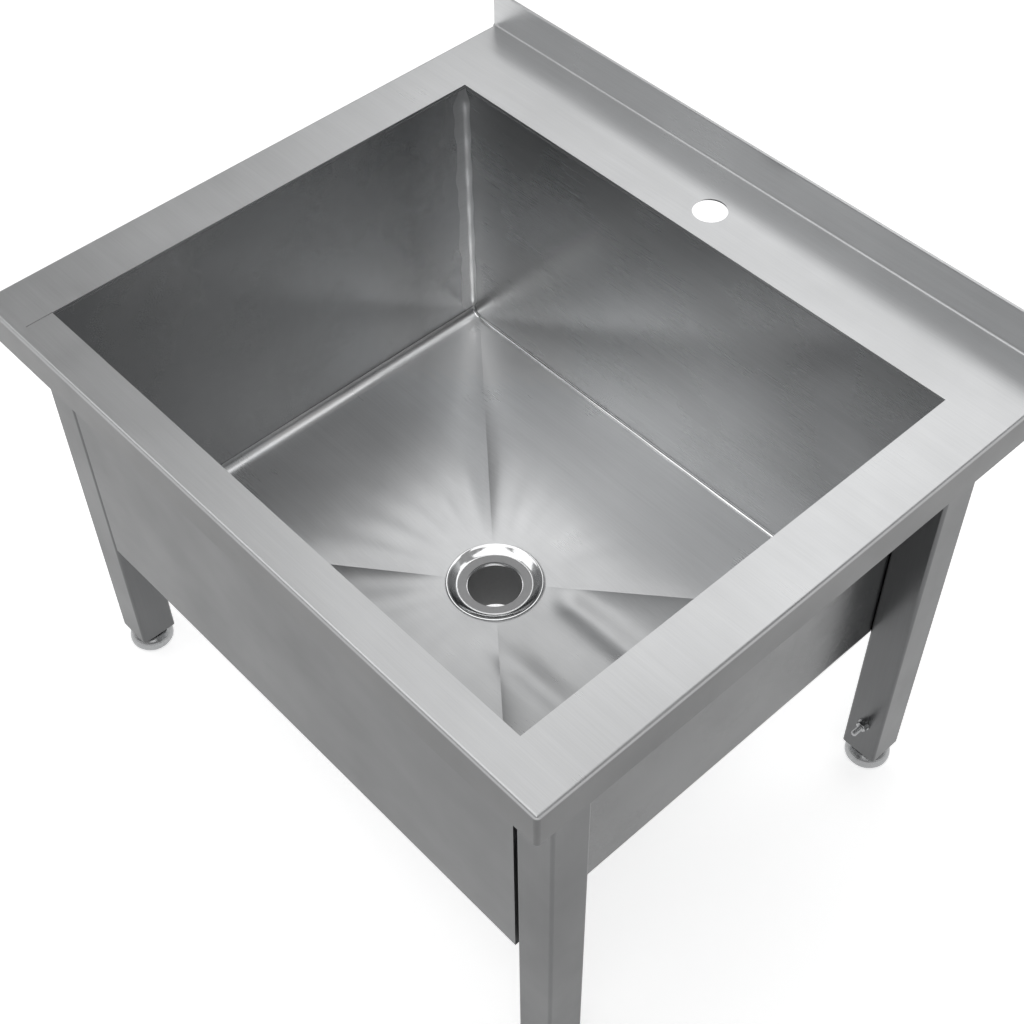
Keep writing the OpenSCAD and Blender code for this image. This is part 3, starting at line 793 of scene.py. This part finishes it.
def stage_floor():
    """Pale floor that sweeps up into a backdrop; the lamps light it and it keeps the shadow."""
    rings = arc(FLOOR_REACH, SWEEP_R, SWEEP_R, -90, 0, SWEEP_STEPS)
    verts = []
    for radius, z in rings:
        for step in range(LATHE_STEPS):
            turn = 2 * math.pi * step / LATHE_STEPS
            verts.append((radius * math.cos(turn), radius * math.sin(turn), z))
    faces = grid_faces(len(rings), LATHE_STEPS, closed=True) + [tuple(range(LATHE_STEPS))]
    mesh = bpy.data.meshes.new("floor")
    mesh.from_pydata(verts, [], faces)
    floor = bpy.data.objects.new("floor", mesh)
    bpy.context.scene.collection.objects.link(floor)
    mat, nodes, links = new_tree("floor_white")
    out = place(nodes.new("ShaderNodeOutputMaterial"), 600, 0)
    lit = place(nodes.new("ShaderNodeBsdfDiffuse"), 0, 100)
    lit.inputs["Color"].default_value = FLOOR_COLOUR
    glow = place(nodes.new("ShaderNodeEmission"), 0, -100)
    total = place(nodes.new("ShaderNodeAddShader"), 300, 0)
    links.new(seen_share(nodes, links, FLOOR_GLOW), glow.inputs["Strength"])
    links.new(lit.outputs[0], total.inputs[0])
    links.new(glow.outputs[0], total.inputs[1])
    links.new(total.outputs[0], out.inputs["Surface"])
    mesh.materials.append(mat)


def seen_share(nodes, links, strength):
    """Strength for camera, glossy and transmission rays, and 0 for the rest."""
    path = place(nodes.new("ShaderNodeLightPath"), -900, -200)
    value = path.outputs["Is Camera Ray"]
    for i, ray in enumerate(("Is Glossy Ray", "Is Transmission Ray")):
        value = joined(nodes, links, "MAXIMUM", value, path.outputs[ray], -700 + 180 * i, -200)
    return remap(nodes, links, value, 0.0, strength, -300, -200, 0.0, 1.0)


def stage_world():
    world = bpy.data.worlds.new("studio")
    bpy.context.scene.world = world
    world.use_nodes = True
    back = world.node_tree.nodes["Background"]
    back.inputs["Color"].default_value = (1, 1, 1, 1)
    back.inputs["Strength"].default_value = WORLD_GREY


def softbox(name, azimuth, elevation, distance, width, height, radiance):
    """Area lamp on a sphere round LAMP_AIM; azimuth 0 is behind the sink, positive to its right."""
    a, e = math.radians(azimuth), math.radians(elevation)
    way = Vector((math.sin(a) * math.cos(e), math.cos(a) * math.cos(e), math.sin(e)))
    data = bpy.data.lights.new(name, "AREA")
    data.shape = "RECTANGLE"
    data.size, data.size_y = width, height
    data.energy = radiance * math.pi * width * height
    lamp = bpy.data.objects.new(name, data)
    bpy.context.scene.collection.objects.link(lamp)
    lamp.location = Vector(LAMP_AIM) + way * distance
    lamp.rotation_mode = "QUATERNION"
    lamp.rotation_quaternion = way.to_track_quat("Z", "Y")
    lamp.visible_camera = False


def stage_lights():
    for lamp in LAMPS:
        softbox(*lamp)


def add_camera():
    data = bpy.data.cameras.new("camera")
    data.lens = CAMERA_LENS
    data.sensor_width = SENSOR_WIDTH
    data.shift_x, data.shift_y = CAMERA_SHIFT
    data.clip_start, data.clip_end = CAMERA_CLIP
    cam = bpy.data.objects.new("camera", data)
    bpy.context.scene.collection.objects.link(cam)
    cam.location = CAMERA_AT
    cam.rotation_mode = "QUATERNION"
    cam.rotation_quaternion = CAMERA_TURN
    bpy.context.scene.camera = cam


finishes = make_finishes()
dress_nodes(finishes)
add_pieces(finishes)
stage_floor()
stage_world()
stage_lights()
add_camera()
bpy.context.scene.view_settings.view_transform = "Standard"
